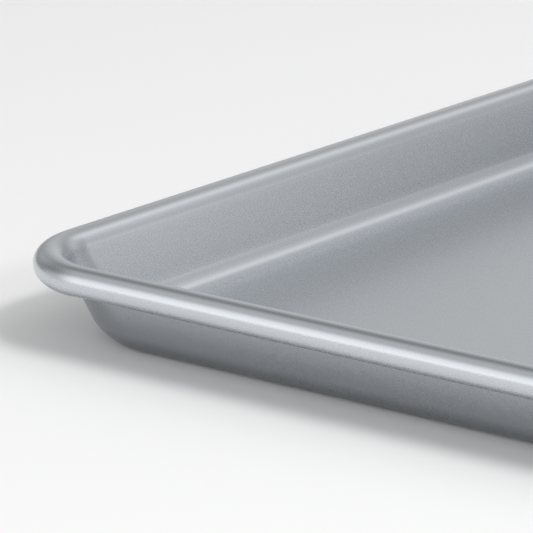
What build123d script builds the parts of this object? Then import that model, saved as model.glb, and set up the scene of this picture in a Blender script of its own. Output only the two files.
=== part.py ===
from build123d import *
import math
import os

# Jelly roll pan: one pressed steel sheet whose rim is curled round a steel wire.
# Sizes are in millimetres and angles in degrees. The origin is the middle of the
# floor's underside, X runs along the long side, Y along the short side and Z up.

# Pan as a whole, measured where the inside of the walls would meet the plane of the rim's top.
mouth_length = 381.0
mouth_width = 254.0
pan_height = 25.4

# Sheet, floor and walls. The bends are given by the radius on their hollow side.
sheet_thickness = 0.8
wall_draft_angle = 13.3
mouth_corner_radius = 24.2
foot_corner_radius = 29.2
floor_bend_radius = 6.2

# Rim: the wide lip bend, then a narrow flat, then the curl that holds the wire.
lip_bend_radius = 4.6
curl_turn_angle = 270.0
curl_wall_gap = 0.5

# Wire inside the curl, a ring whose two ends meet in a butt joint behind one long side.
# The curl is slightly wider than it is tall, so it has its own clearance above and below the wire.
wire_diameter = 6.0
wire_side_clearance = 0.4
wire_height_clearance = 0.35
wire_joint_gap = 0.6

# Sizes that follow from the ones above. Places called out are measured outwards from the mouth's edge.
draft = math.radians(wall_draft_angle)
wall_width = sheet_thickness / math.cos(draft)
lip_top_radius = lip_bend_radius + sheet_thickness
lip_end_angle = 180 - wall_draft_angle
lip_centre_out = lip_top_radius * math.tan(math.radians(90 - wall_draft_angle) / 2)
lip_centre_height = pan_height - lip_top_radius
curl_inner_half_width = wire_diameter / 2 + wire_side_clearance
curl_inner_half_height = wire_diameter / 2 + wire_height_clearance
curl_half_width = curl_inner_half_width + sheet_thickness
curl_half_height = curl_inner_half_height + sheet_thickness
curl_centre_height = pan_height - curl_half_height
curl_end_angle = 90 - curl_turn_angle


def wall_lean(height):
    """How far the inside of a wall stands in from the mouth's edge at a height."""
    return (pan_height - height) * math.tan(draft)


curl_edge_out = wall_width - wall_lean(curl_centre_height) + curl_wall_gap
curl_centre_out = curl_edge_out + curl_half_width


def wall_outline(height, outset, corner_radius):
    """Level outline of the walls, grown by outset from the inside face: four corner arcs and four straights."""
    radius = corner_radius + outset
    centre_x = mouth_length / 2 - wall_lean(height) - corner_radius
    centre_y = mouth_width / 2 - wall_lean(height) - corner_radius
    signs = [(1, 1), (-1, 1), (-1, -1), (1, -1)]
    arcs = []
    for quarter, (sign_x, sign_y) in enumerate(signs):
        arc = Pos(sign_x * centre_x, sign_y * centre_y, height) * CenterArc((0, 0), radius, 90 * quarter, 90)
        arcs.append(arc.edge())
    straights = [Line(arcs[quarter - 1] @ 1, arcs[quarter] @ 0).edge() for quarter in range(4)]
    return arcs, straights


def wall_block(foot_height, outset, bend_radius):
    """Tapered block with flat sides, drawn corners and a rounded foot, up to where the lip bend starts."""
    head_height = lip_centre_height
    head_corner_radius = mouth_corner_radius - wall_lean(head_height)
    foot_arcs, foot_lines = wall_outline(foot_height, outset, foot_corner_radius)
    head_arcs, head_lines = wall_outline(head_height, outset, head_corner_radius)
    faces = [make_face(foot_arcs + foot_lines).face(), make_face(head_arcs + head_lines).face()]
    for foot_arc, head_arc in zip(foot_arcs, head_arcs):
        faces.append(Face.make_surface_from_curves(foot_arc, head_arc))
    for foot_line, head_line in zip(foot_lines, head_lines):
        side = Polyline(foot_line @ 0, foot_line @ 1, head_line @ 1, head_line @ 0, close=True)
        faces.append(make_face(side).face())
    block = Solid(Shell(faces))
    foot_edges = block.faces().sort_by(Axis.Z)[0].edges()
    return fillet(foot_edges, bend_radius)


def pressed_tray():
    """Floor and walls, with the sheet's thickness left between two tapered blocks."""
    outside = wall_block(0, wall_width, floor_bend_radius + sheet_thickness)
    inside = wall_block(sheet_thickness, 0, floor_bend_radius)
    return outside - inside


def arc_point(centre, radius, angle):
    """Point on a circle, at an angle from the outward direction."""
    turn = math.radians(angle)
    return (centre[0] + radius * math.cos(turn), centre[1] + radius * math.sin(turn))


def curl_arc(half_width, half_height):
    """One face of the curl in section, an oval that runs from the sheet's tucked edge up to the rim's top."""
    centre = (curl_centre_out, curl_centre_height)
    sweep_angles = dict(start_angle=curl_end_angle, arc_size=curl_turn_angle)
    return EllipticalCenterArc(centre, half_width, half_height, **sweep_angles)


def rim_section():
    """Section through the sheet of the rim, from the top of the wall to the edge tucked in behind it."""
    lip_centre = (lip_centre_out, lip_centre_height)
    curl_outside = curl_arc(curl_half_width, curl_half_height)
    curl_inside = curl_arc(curl_inner_half_width, curl_inner_half_height)
    wall_face = (-wall_lean(lip_centre_height), lip_centre_height)
    wall_back = (wall_width - wall_lean(lip_centre_height), lip_centre_height)
    lip_start = arc_point(lip_centre, lip_top_radius, lip_end_angle)
    lip_back_start = arc_point(lip_centre, lip_bend_radius, lip_end_angle)
    lip_top = arc_point(lip_centre, lip_top_radius, 90)
    lip_back_top = arc_point(lip_centre, lip_bend_radius, 90)
    outline = [
        Line(wall_face, lip_start),
        CenterArc(lip_centre, lip_top_radius, lip_end_angle, 90 - lip_end_angle),
        Line(lip_top, curl_outside @ 1),
        curl_outside,
        Line(curl_outside @ 0, curl_inside @ 0),
        curl_inside,
        Line(curl_inside @ 1, lip_back_top),
        CenterArc(lip_centre, lip_bend_radius, 90, lip_end_angle - 90),
        Line(lip_back_start, wall_back),
        Line(wall_back, wall_face),
    ]
    return make_face(outline)


def rolled_rim():
    """Lip, flat and curl: the section run along the straight sides and turned round each drawn corner."""
    section = Plane.XZ * rim_section()
    side_length = mouth_length / 2 - mouth_corner_radius
    side_width = mouth_width / 2 - mouth_corner_radius
    turned = revolve(Pos(mouth_corner_radius, 0, 0) * section, Axis.Z, 90)
    across = extrude(Pos(mouth_length / 2, 0, 0) * section, side_width, dir=(0, 1, 0))
    along = extrude(Pos(0, mouth_width / 2, 0) * Rot(0, 0, 90) * section, side_length, dir=(1, 0, 0))
    quarter = Pos(side_length, side_width, 0) * turned + across + along
    half = quarter + mirror(quarter, about=Plane.YZ)
    return half + mirror(half, about=Plane.XZ)


def pan_shell():
    """The whole sheet: floor, walls and rim in one piece, as it is pressed."""
    return pressed_tray() + rolled_rim()


def rim_wire():
    """Round wire that lies in the curl and stiffens the rim."""
    half_length = mouth_length / 2 + curl_centre_out
    half_width = mouth_width / 2 + curl_centre_out
    corners = [
        (wire_joint_gap / 2, half_width),
        (half_length, half_width),
        (half_length, -half_width),
        (-half_length, -half_width),
        (-half_length, half_width),
        (-wire_joint_gap / 2, half_width),
    ]
    ring = FilletPolyline(*corners, radius=mouth_corner_radius + curl_centre_out)
    path = Pos(0, 0, curl_centre_height) * ring
    section = Plane(origin=path @ 0, z_dir=path % 0) * Circle(wire_diameter / 2)
    return sweep(section, path=path)


os.makedirs("parts", exist_ok=True)
export_step(pan_shell(), "parts/pan_shell.step")
export_step(rim_wire(), "parts/rim_wire.step")
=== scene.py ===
from math import atan2, cos, hypot, pi, radians, sin, tan

import bmesh
import bpy
from mathutils import Matrix, Vector


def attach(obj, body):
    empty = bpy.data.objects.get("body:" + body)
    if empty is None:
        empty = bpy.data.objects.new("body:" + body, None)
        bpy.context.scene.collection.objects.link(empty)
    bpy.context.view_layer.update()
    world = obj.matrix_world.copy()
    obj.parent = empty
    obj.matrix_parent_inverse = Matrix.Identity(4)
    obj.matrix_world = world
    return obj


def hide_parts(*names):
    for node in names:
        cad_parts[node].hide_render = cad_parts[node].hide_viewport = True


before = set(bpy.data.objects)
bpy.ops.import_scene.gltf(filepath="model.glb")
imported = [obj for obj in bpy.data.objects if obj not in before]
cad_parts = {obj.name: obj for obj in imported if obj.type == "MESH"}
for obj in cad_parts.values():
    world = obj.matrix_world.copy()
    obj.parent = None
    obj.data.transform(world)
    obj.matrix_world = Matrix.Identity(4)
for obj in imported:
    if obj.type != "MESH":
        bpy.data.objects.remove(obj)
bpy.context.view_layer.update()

scene = bpy.context.scene
quarterTurn = radians(90)

# Camera, at the photograph's place. Yaw runs from +Y towards +X.
photoCamera = {
    "place": (-0.92743, -0.52143, 0.30082),
    "yaw": 52.47,
    "pitch": 15.96,
    "lens": 249.9,
    "sensor": 36.0,
    "reach": 100.0,
}


def placeCamera(values):
    data = bpy.data.cameras.new("photoCamera")
    data.sensor_width = values["sensor"]
    data.lens = values["lens"]
    data.clip_end = values["reach"]
    camera = bpy.data.objects.new("photoCamera", data)
    camera.location = values["place"]
    camera.rotation_euler = (radians(90 - values["pitch"]), 0, -radians(values["yaw"]))
    scene.collection.objects.link(camera)
    scene.camera = camera


placeCamera(photoCamera)
print("camera: placed")


# Shader graphs: sockets that add up like numbers, and one way to add any other node.
class Channel:
    def __init__(self, graph, socket):
        self.graph = graph
        self.socket = socket

    def combine(self, operation, first, second):
        return self.graph.add("ShaderNodeMath", {"operation": operation}, {0: first, 1: second})

    def __add__(self, other):
        return self.combine("ADD", self, other)

    def __radd__(self, other):
        return self.combine("ADD", other, self)

    def __sub__(self, other):
        return self.combine("SUBTRACT", self, other)

    def __rsub__(self, other):
        return self.combine("SUBTRACT", other, self)

    def __mul__(self, other):
        return self.combine("MULTIPLY", self, other)

    def __rmul__(self, other):
        return self.combine("MULTIPLY", other, self)


class Graph:
    def __init__(self, owner):
        owner.use_nodes = True
        self.tree = owner.node_tree
        self.tree.nodes.clear()

    def add(self, kind, settings, inputs, output=0):
        node = self.tree.nodes.new(kind)
        for name, value in settings.items():
            setattr(node, name, value)
        for name, value in inputs.items():
            if isinstance(value, Channel):
                self.tree.links.new(value.socket, node.inputs[name])
            else:
                node.inputs[name].default_value = value
        return Channel(self, node.outputs[output]) if node.outputs else None

    def noise(self, place, size, detail):
        inputs = {"Vector": place, "Scale": 1 / size, "Detail": detail}
        return self.add("ShaderNodeTexNoise", {}, inputs, "Fac")

    def mixColour(self, share, first, second):
        settings = {"data_type": "RGBA"}
        return self.add("ShaderNodeMix", settings, {0: share, 6: first, 7: second}, 2)


noiseMiddle = 0.5       # mean level of a noise

# Satin release coating: a fine even grain over a metallic grey, a little cloudy over a hand's width.
satinCoat = {
    "light": (0.600, 0.627, 0.658, 1),
    "dark": (0.580, 0.607, 0.637, 1),
    "grainSize": 0.00055,
    "grainDetail": 2,
    "grainShare": 0.6,          # of the step from dark to light
    "grainHeight": 0.0000004,
    "speckSize": 0.00022,
    "speckDetail": 1,
    "speckShare": 0.4,
    "speckRise": 0.6,           # of the grain's height
    "cloudSize": 0.05,
    "cloudDetail": 2,
    "cloudShare": 0.2,
    "cloudRoughness": 0.5,      # of the grain's effect on the roughness
    "roughness": 0.27,
    "roughnessSpread": 0.03,
    "shade": 1.0,               # brightness of the painted shade at the foot, 1 for none
    "shadeTop": 0.006,          # height at which it is full
}

# The back of the sheet, seen outside and below, gets a darker copy of the coat, and painted shade that
# darkens it towards the foot.
backCoat = {
    **satinCoat,
    "light": (0.431, 0.451, 0.474, 1),
    "dark": (0.412, 0.432, 0.455, 1),
    "shade": 0.5,
}


def makeCoat(values, name):
    material = bpy.data.materials.new(name)
    graph = Graph(material)
    place = graph.add("ShaderNodeTexCoord", {}, {}, "Object")
    grain = graph.noise(place, values["grainSize"], values["grainDetail"])
    speck = graph.noise(place, values["speckSize"], values["speckDetail"])
    cloud = graph.noise(place, values["cloudSize"], values["cloudDetail"])
    pattern = grain * values["grainShare"] + speck * values["speckShare"]
    share = pattern + cloud * values["cloudShare"] - values["cloudShare"] * noiseMiddle
    colour = graph.mixColour(share, values["dark"], values["light"])
    # Painted shade: the colour darkens towards the foot, below shadeTop.
    height = graph.add("ShaderNodeSeparateXYZ", {}, {"Vector": place}, "Z")
    limits = {"From Max": values["shadeTop"], "To Min": values["shade"], "To Max": 1}
    shade = graph.add("ShaderNodeMapRange", {}, {"Value": height, **limits})
    darkened = graph.add("ShaderNodeVectorMath", {"operation": "SCALE"}, {0: colour, "Scale": shade})
    unevenness = cloud * values["cloudRoughness"] + grain - (values["cloudRoughness"] + 1) * noiseMiddle
    roughness = unevenness * values["roughnessSpread"] + values["roughness"]
    bump = graph.add("ShaderNodeBump", {}, {
        "Height": grain + speck * values["speckRise"],
        "Distance": values["grainHeight"],
        "Strength": 1,
    }, "Normal")
    surface = graph.add("ShaderNodeBsdfPrincipled", {}, {
        "Base Color": darkened,
        "Metallic": 1,
        "Roughness": roughness,
        "Normal": bump,
    })
    graph.add("ShaderNodeOutputMaterial", {}, {"Surface": surface})
    return material


# Drawn steel of the wire, with a fine grain.
drawnSteel = {
    "colour": (0.50, 0.50, 0.51, 1),
    "grainColour": (0.38, 0.38, 0.40, 1),
    "grainSize": 0.0006,
    "grainDetail": 3,
    "roughness": 0.38,
    "roughnessSpread": 0.12,
}


def makeDrawnSteel(values):
    material = bpy.data.materials.new("drawnSteel")
    graph = Graph(material)
    place = graph.add("ShaderNodeTexCoord", {}, {}, "Object")
    grain = graph.noise(place, values["grainSize"], values["grainDetail"])
    colour = graph.mixColour(grain, values["grainColour"], values["colour"])
    roughness = (grain - noiseMiddle) * values["roughnessSpread"] + values["roughness"]
    surface = graph.add("ShaderNodeBsdfPrincipled", {}, {
        "Base Color": colour,
        "Metallic": 1,
        "Roughness": roughness,
    })
    graph.add("ShaderNodeOutputMaterial", {}, {"Surface": surface})
    return material


# Pressed sheet, in millimetres. Bend radii and heights are those of the side that food touches.
pressedSheet = {
    "mouth": (381.0, 254.0),
    "height": 25.4,
    "thickness": 0.8,
    "draft": 13.3,
    "mouthCorner": 24.2,
    "footCorner": 29.2,
    "floorBend": 6.2,
    "cornerBendGrowth": 4.5,    # extra floor bend in the middle of each drawn corner
    "lipBend": 5.4,
    "curlHalfWidth": 4.2,
    "curlHalfHeight": 4.15,
    "curlGap": 0.5,
    "curlTurn": 270.0,
    "cornerSwell": 0.22,        # the curl's half height grows by this in the corners
    "cornerPush": 0.2,          # and its outer half stands out by this much more
    "swellRun": 15.0,           # degrees over which the swell comes in
    "edgeBevel": 0.15,
    "cornerSteps": 36,
    "bendSteps": 14,
    "lipSteps": 18,
    "curlSteps": 60,
    "wallSteps": 8,
    "sideSteps": 6,
    "floorRings": (1.5, 8.0),   # insets of the rings round the flat floor
    "mirrorMerge": 0.001,
    "doubleMerge": 0.0005,
    "levelSlack": 0.01,         # points this near to a face of the floor lie on it
    "sharpAngle": 60.0,
    "bevelSegments": 2,
    "scale": 0.001,             # to metres
}


def wallLean(values, height):
    return (values["height"] - height) * tan(radians(values["draft"]))


def spinLast(bm, last, centre, turn, steps):
    made = bmesh.ops.spin(
        bm, geom=[last], cent=centre, axis=(0, 1, 0), angle=turn, steps=steps, use_duplicate=False
    )
    return made["geom_last"][0]


def extendLast(bm, last, place):
    made = bmesh.ops.extrude_vert_indiv(bm, verts=[last])
    made["verts"][0].co = place
    return made["verts"][0]


def sheetSection(bm, values, cornerCentre):
    # From the floor up the wall, over the lip and round the curl, at the end of the long side.
    edgeX = values["mouth"][0] / 2
    sideY = cornerCentre[1]
    draft = radians(values["draft"])
    bend, lip = values["floorBend"], values["lipBend"]

    # Floor bend.
    bendHeight = values["thickness"] + bend
    bendX = edgeX - wallLean(values, bendHeight) - bend / cos(draft)
    last = bmesh.ops.create_vert(bm, co=(bendX, sideY, values["thickness"]))["vert"][0]
    last = spinLast(bm, last, (bendX, sideY, bendHeight), draft - quarterTurn, values["bendSteps"])

    # Wall, up to the lip bend.
    lipHeight = values["height"] - lip
    lipX = edgeX + lip * tan((quarterTurn - draft) / 2)
    lipStart = Vector((lipX - lip * cos(draft), sideY, lipHeight + lip * sin(draft)))
    bendEnd = last.co.copy()
    for step in range(1, values["wallSteps"] + 1):
        last = extendLast(bm, last, bendEnd.lerp(lipStart, step / values["wallSteps"]))
    last = spinLast(bm, last, (lipX, sideY, lipHeight), quarterTurn - draft, values["lipSteps"])

    # Narrow flat.
    curlHeight = values["height"] - values["curlHalfHeight"]
    wallWidth = values["thickness"] / cos(draft)
    curlOut = wallWidth - wallLean(values, curlHeight) + values["curlGap"] + values["curlHalfWidth"]
    curlX = edgeX + curlOut
    last = extendLast(bm, last, (curlX, *last.co.yz))

    # Curl, turned as a circle and then made an oval.
    before = set(bm.verts)
    spinLast(bm, last, (curlX, sideY, curlHeight), radians(values["curlTurn"]), values["curlSteps"])
    curl = [vert for vert in bm.verts if vert not in before]
    middle = Matrix.Translation((-curlX, 0, 0))
    stretch = (values["curlHalfWidth"] / values["curlHalfHeight"], 1, 1)
    bmesh.ops.scale(bm, vec=stretch, space=middle, verts=curl)


def footGrowth(values):
    # What the corner's radius has gained at the floor, over that of a corner with an even lean.
    return values["footCorner"] - (values["mouthCorner"] - wallLean(values, values["thickness"]))


def wallPoint(values, cornerCentre, angle, level):
    # On the inner face of the corner's wall, at an angle round the corner and a height.
    head = values["height"] - values["lipBend"]
    growth = footGrowth(values) * (head - level) / (head - values["thickness"])
    reach = values["mouthCorner"] - wallLean(values, level)
    outward = Vector((cos(angle), sin(angle), 0))
    aside = Vector((1 - cos(angle), 1 - sin(angle), 0))
    return Vector((*cornerCentre, level)) + outward * reach - aside * growth


def swellCurl(vert, values, angle, out):
    # In the corner the curl is a little taller and its outer half stands out a little further.
    near = min(1, max(0, min(angle, quarterTurn - angle) / radians(values["swellRun"])))
    share = near * near * (3 - 2 * near)
    drop = values["height"] - vert.co.z
    vert.co.z -= drop * values["cornerSwell"] / values["curlHalfHeight"] * share
    push = values["cornerPush"] * share * min(1, out / (2 * values["curlHalfWidth"]))
    vert.co += Vector((cos(angle), sin(angle), 0)) * push


def drawWall(vert, values, cornerCentre, angle, out):
    # The corner's radius grows towards the foot, and the floor bend is fuller in its middle.
    draft = radians(values["draft"])
    head = values["height"] - values["lipBend"]
    floor, bend = values["thickness"], values["floorBend"]
    bendHeight = floor + bend
    bendOut = -wallLean(values, bendHeight) - bend / cos(draft)
    bendTop = bendHeight - bend * sin(draft)
    spread = cos(angle) + sin(angle) - 1
    lean = atan2(tan(draft) * (head - floor) + footGrowth(values) * spread, head - floor)
    bendHere = bend + values["cornerBendGrowth"] * sin(2 * angle) ** 2
    topHere = floor + bendHere * (1 - sin(lean))
    height = vert.co.z
    if height > bendTop:
        level = head - (head - height) * (head - topHere) / (head - bendTop)
        vert.co = wallPoint(values, cornerCentre, angle, level)
        return
    turn = quarterTurn + atan2(height - bendHeight, out - bendOut)
    turn = turn * (quarterTurn - lean) / (quarterTurn - draft) - quarterTurn
    outward = Vector((cos(angle), sin(angle), 0))
    bendEnd = wallPoint(values, cornerCentre, angle, topHere)
    vert.co = bendEnd + outward * bendHere * (cos(turn) - cos(lean))
    vert.co.z = floor + bendHere * (1 + sin(turn))


def drawCorner(bm, values, cornerCentre):
    # Out is counted from the edge of the mouth.
    for vert in bm.verts:
        offX, offY = vert.co.x - cornerCentre[0], vert.co.y - cornerCentre[1]
        angle = atan2(offY, offX)
        out = hypot(offX, offY) - values["mouthCorner"]
        if out > 0:
            swellCurl(vert, values, angle, out)
        elif vert.co.z <= values["height"] - values["lipBend"]:
            drawWall(vert, values, cornerCentre, angle, out)


def extendSide(bm, values, edges, axis):
    # A straight side, from the corner to the pan's middle plane.
    made = bmesh.ops.extrude_edge_only(bm, edges=edges)["geom"]
    ends = [item for item in made if isinstance(item, bmesh.types.BMVert)]
    flatten = Vector((1, 1, 1))
    flatten[axis] = 0
    bmesh.ops.scale(bm, vec=flatten, verts=ends)
    endSet = set(ends)
    runs = [edge for vert in ends for edge in vert.link_edges if edge.other_vert(vert) not in endSet]
    bmesh.ops.subdivide_edges(bm, edges=runs, cuts=values["sideSteps"] - 1, use_grid_fill=True)


def makePressedSheet(values, name):
    bm = bmesh.new()
    cornerCentre = tuple(size / 2 - values["mouthCorner"] for size in values["mouth"])
    sheetSection(bm, values, cornerCentre)
    firstEdges = bm.edges[:]
    spun = bmesh.ops.spin(
        bm, geom=bm.verts[:] + firstEdges, cent=(*cornerCentre, 0), axis=(0, 0, 1),
        angle=quarterTurn, steps=values["cornerSteps"], use_duplicate=False
    )
    lastEdges = [item for item in spun["geom_last"] if isinstance(item, bmesh.types.BMEdge)]
    drawCorner(bm, values, cornerCentre)
    extendSide(bm, values, firstEdges, 1)
    extendSide(bm, values, lastEdges, 0)
    for axis in ("X", "Y"):
        everything = bm.verts[:] + bm.edges[:] + bm.faces[:]
        bmesh.ops.mirror(bm, geom=everything, merge_dist=values["mirrorMerge"], axis=axis)
    bmesh.ops.remove_doubles(bm, verts=bm.verts, dist=values["doubleMerge"])

    # Flat floor inside the bend, with a few rings so that its shading stays flat.
    floorLevel = values["thickness"] + values["levelSlack"]
    floorEdge = [edge for edge in bm.edges if edge.is_boundary and edge.verts[0].co.z < floorLevel]
    floorFaces = bmesh.ops.contextual_create(bm, geom=floorEdge)["faces"]
    for ring in values["floorRings"]:
        bmesh.ops.inset_region(bm, faces=floorFaces, thickness=ring, use_even_offset=True)
    bmesh.ops.recalc_face_normals(bm, faces=bm.faces)
    if floorFaces[0].normal.z < 0:
        bmesh.ops.reverse_faces(bm, faces=bm.faces)

    # The sheet's thickness goes to the far side, and the tucked edge loses its sharpness.
    made = bmesh.ops.solidify(bm, geom=bm.faces[:], thickness=values["thickness"])
    backFaces = [item for item in made["geom"] if isinstance(item, bmesh.types.BMFace)]
    for face in backFaces:
        face.material_index = 1     # back coat
    bmesh.ops.recalc_face_normals(bm, faces=bm.faces)
    for vert in bm.verts:
        for level in (0, values["thickness"]):
            if abs(vert.co.z - level) < values["levelSlack"]:
                vert.co.z = level
    sharpAngle = radians(values["sharpAngle"])
    sharp = [edge for edge in bm.edges if edge.is_manifold and edge.calc_face_angle() > sharpAngle]
    bmesh.ops.bevel(
        bm, geom=sharp, offset=values["edgeBevel"], affect="EDGES",
        segments=values["bevelSegments"], profile=0.5, material=-1
    )
    bmesh.ops.scale(bm, vec=[values["scale"]] * 3, verts=bm.verts)
    for face in bm.faces:
        face.smooth = True
    mesh = bpy.data.meshes.new(name)
    bm.to_mesh(mesh)
    bm.free()
    piece = bpy.data.objects.new(name, mesh)
    scene.collection.objects.link(piece)
    return piece


sheet = makePressedSheet(pressedSheet, "pressedSheet")
sheet.data.materials.append(makeCoat(satinCoat, "satinCoat"))
sheet.data.materials.append(makeCoat(backCoat, "backCoat"))
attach(sheet, "root")
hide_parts("pan_shell")
print("sheet:", len(sheet.data.vertices), "vertices,", len(sheet.data.polygons), "faces")

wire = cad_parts["rim_wire"]
wire.data.materials.clear()
wire.data.materials.append(makeDrawnSteel(drawnSteel))
for polygon in wire.data.polygons:
    polygon.use_smooth = True
print("wire: dressed")

# Table that the pan stands on.
tableTop = {
    "colour": (0.86, 0.86, 0.86, 1),
    "cloudColour": (0.845, 0.845, 0.845, 1),
    "cloudSize": 0.8,
    "cloudDetail": 1,
    "roughness": 0.7,
    "gloss": 0.2,
    "halfWidth": 8.0,
}


def makeTable(values):
    material = bpy.data.materials.new("paleTable")
    graph = Graph(material)
    place = graph.add("ShaderNodeTexCoord", {}, {}, "Object")
    cloud = graph.noise(place, values["cloudSize"], values["cloudDetail"])
    colour = graph.mixColour(cloud, values["cloudColour"], values["colour"])
    surface = graph.add("ShaderNodeBsdfPrincipled", {}, {
        "Base Color": colour,
        "Roughness": values["roughness"],
        "Specular IOR Level": values["gloss"],
    })
    graph.add("ShaderNodeOutputMaterial", {}, {"Surface": surface})
    bm = bmesh.new()
    bmesh.ops.create_grid(bm, x_segments=1, y_segments=1, size=values["halfWidth"])
    mesh = bpy.data.meshes.new("tableTop")
    bm.to_mesh(mesh)
    bm.free()
    mesh.materials.append(material)
    table = bpy.data.objects.new("tableTop", mesh)
    scene.collection.objects.link(table)
    return table


table = makeTable(tableTop)
print("table: placed")

# Soft lamps. Turn is from the view axis to the right and rise is from the table, both in degrees.
# Sizes are angles seen from the pan, and the level is the lamp's own brightness, where 1 looks white.
softLamps = {
    "keyLow": {"turn": 126, "rise": 30, "size": (20, 8), "level": 17.0},
    "keyHigh": {"turn": 128, "rise": 52, "size": (24, 12), "level": 17.4},
    "fillFront": {"turn": -140, "rise": 12, "size": (36, 14), "level": 7.8},
}
lampStage = {"target": (-0.12, 0.04, 0.0), "distance": 2.4}


def aim(values):
    turn, rise = radians(photoCamera["yaw"] + values["turn"]), radians(values["rise"])
    return Vector((sin(turn) * cos(rise), cos(turn) * cos(rise), sin(rise)))


def placeLamp(name, values, stage):
    towards = aim(values)
    data = bpy.data.lights.new(name, "AREA")
    data.shape = "ELLIPSE"
    data.size, data.size_y = (2 * stage["distance"] * tan(radians(size) / 2) for size in values["size"])
    data.energy = values["level"] * pi ** 2 / 4 * data.size * data.size_y   # watts, from the oval's area
    lamp = bpy.data.objects.new(name, data)
    lamp.location = Vector(stage["target"]) + towards * stage["distance"]
    lamp.rotation_euler = towards.to_track_quat("Z", "Y").to_euler()
    lamp.visible_glossy = False     # the metal mirrors only the room
    scene.collection.objects.link(lamp)


for lampName, lampValues in softLamps.items():
    placeLamp(lampName, lampValues, lampStage)
print("lamps:", len(softLamps))

# Light of the white room: an even level and broad soft glows, with spreads in degrees.
roomLevel = 0.18
roomGlows = {
    "leftNear": {"turn": -105, "rise": 4, "spread": 10, "level": 1.0},
    "leftLow": {"turn": -67, "rise": 4, "spread": 10, "level": 0.5},
    "backLow": {"turn": 7, "rise": 4, "spread": 10, "level": 0.5},
    "backRightLow": {"turn": 54, "rise": 4, "spread": 12, "level": 0.4},
    "rightLow": {"turn": 97, "rise": 4, "spread": 10, "level": 2.05},
    "left": {"turn": -92, "rise": 19, "spread": 10, "level": 0.6},
    "leftBack": {"turn": -32, "rise": 18, "spread": 10, "level": 0.35},
    "backLeft": {"turn": -11, "rise": 20, "spread": 10, "level": 0.2},
    "back": {"turn": 7, "rise": 19, "spread": 10, "level": 0.22},
    "backRight": {"turn": 43, "rise": 20, "spread": 10, "level": 0.45},
    "right": {"turn": 79, "rise": 20, "spread": 10, "level": 0.2},
    "leftHigh": {"turn": -100, "rise": 33, "spread": 10, "level": 0.75},
    "backHigh": {"turn": 2, "rise": 37, "spread": 10, "level": 0.25},
    "backRightHigh": {"turn": 27, "rise": 38, "spread": 9, "level": 0.38},
    "backRightPeak": {"turn": 44, "rise": 40, "spread": 7, "level": 0.52},
    "rightHigh": {"turn": 88, "rise": 36, "spread": 10, "level": 0.76},
    "leftTop": {"turn": -82, "rise": 51, "spread": 10, "level": 0.3},
    "leftBackTop": {"turn": -56, "rise": 53, "spread": 11, "level": 0.4},
    "backRightTop": {"turn": 50, "rise": 52, "spread": 10, "level": 0.35},
    "rightTop": {"turn": 80, "rise": 52, "spread": 10, "level": 1.7},
    "frontLeft": {"turn": -137, "rise": 15, "spread": 18, "level": 1.5},
    "front": {"turn": 160, "rise": 40, "spread": 18, "level": 0.5},
    "rightFront": {"turn": 128, "rise": 22, "spread": 16, "level": 0.35},
    "above": {"turn": 0, "rise": 88, "spread": 18, "level": 0.25},
}


def makeRoomLight(level, glows):
    # Each glow fades softly with the angle from its middle, and all add up.
    world = bpy.data.worlds.new("roomLight")
    graph = Graph(world)
    direction = graph.add("ShaderNodeTexCoord", {}, {}, "Generated")
    strength = level
    for glow in glows.values():
        inputs = {0: direction, 1: aim(glow)}
        nearness = graph.add("ShaderNodeVectorMath", {"operation": "DOT_PRODUCT"}, inputs, "Value")
        fade = (nearness - 1) * (1 / radians(glow["spread"]) ** 2)
        brightness = graph.add("ShaderNodeMath", {"operation": "EXPONENT"}, {0: fade})
        strength = brightness * glow["level"] + strength
    backdrop = graph.add("ShaderNodeBackground", {}, {"Color": (1, 1, 1, 1), "Strength": strength})
    graph.add("ShaderNodeOutputWorld", {}, {"Surface": backdrop})
    scene.world = world


makeRoomLight(roomLevel, roomGlows)
scene.view_settings.view_transform = "Standard"
print("room light: set")
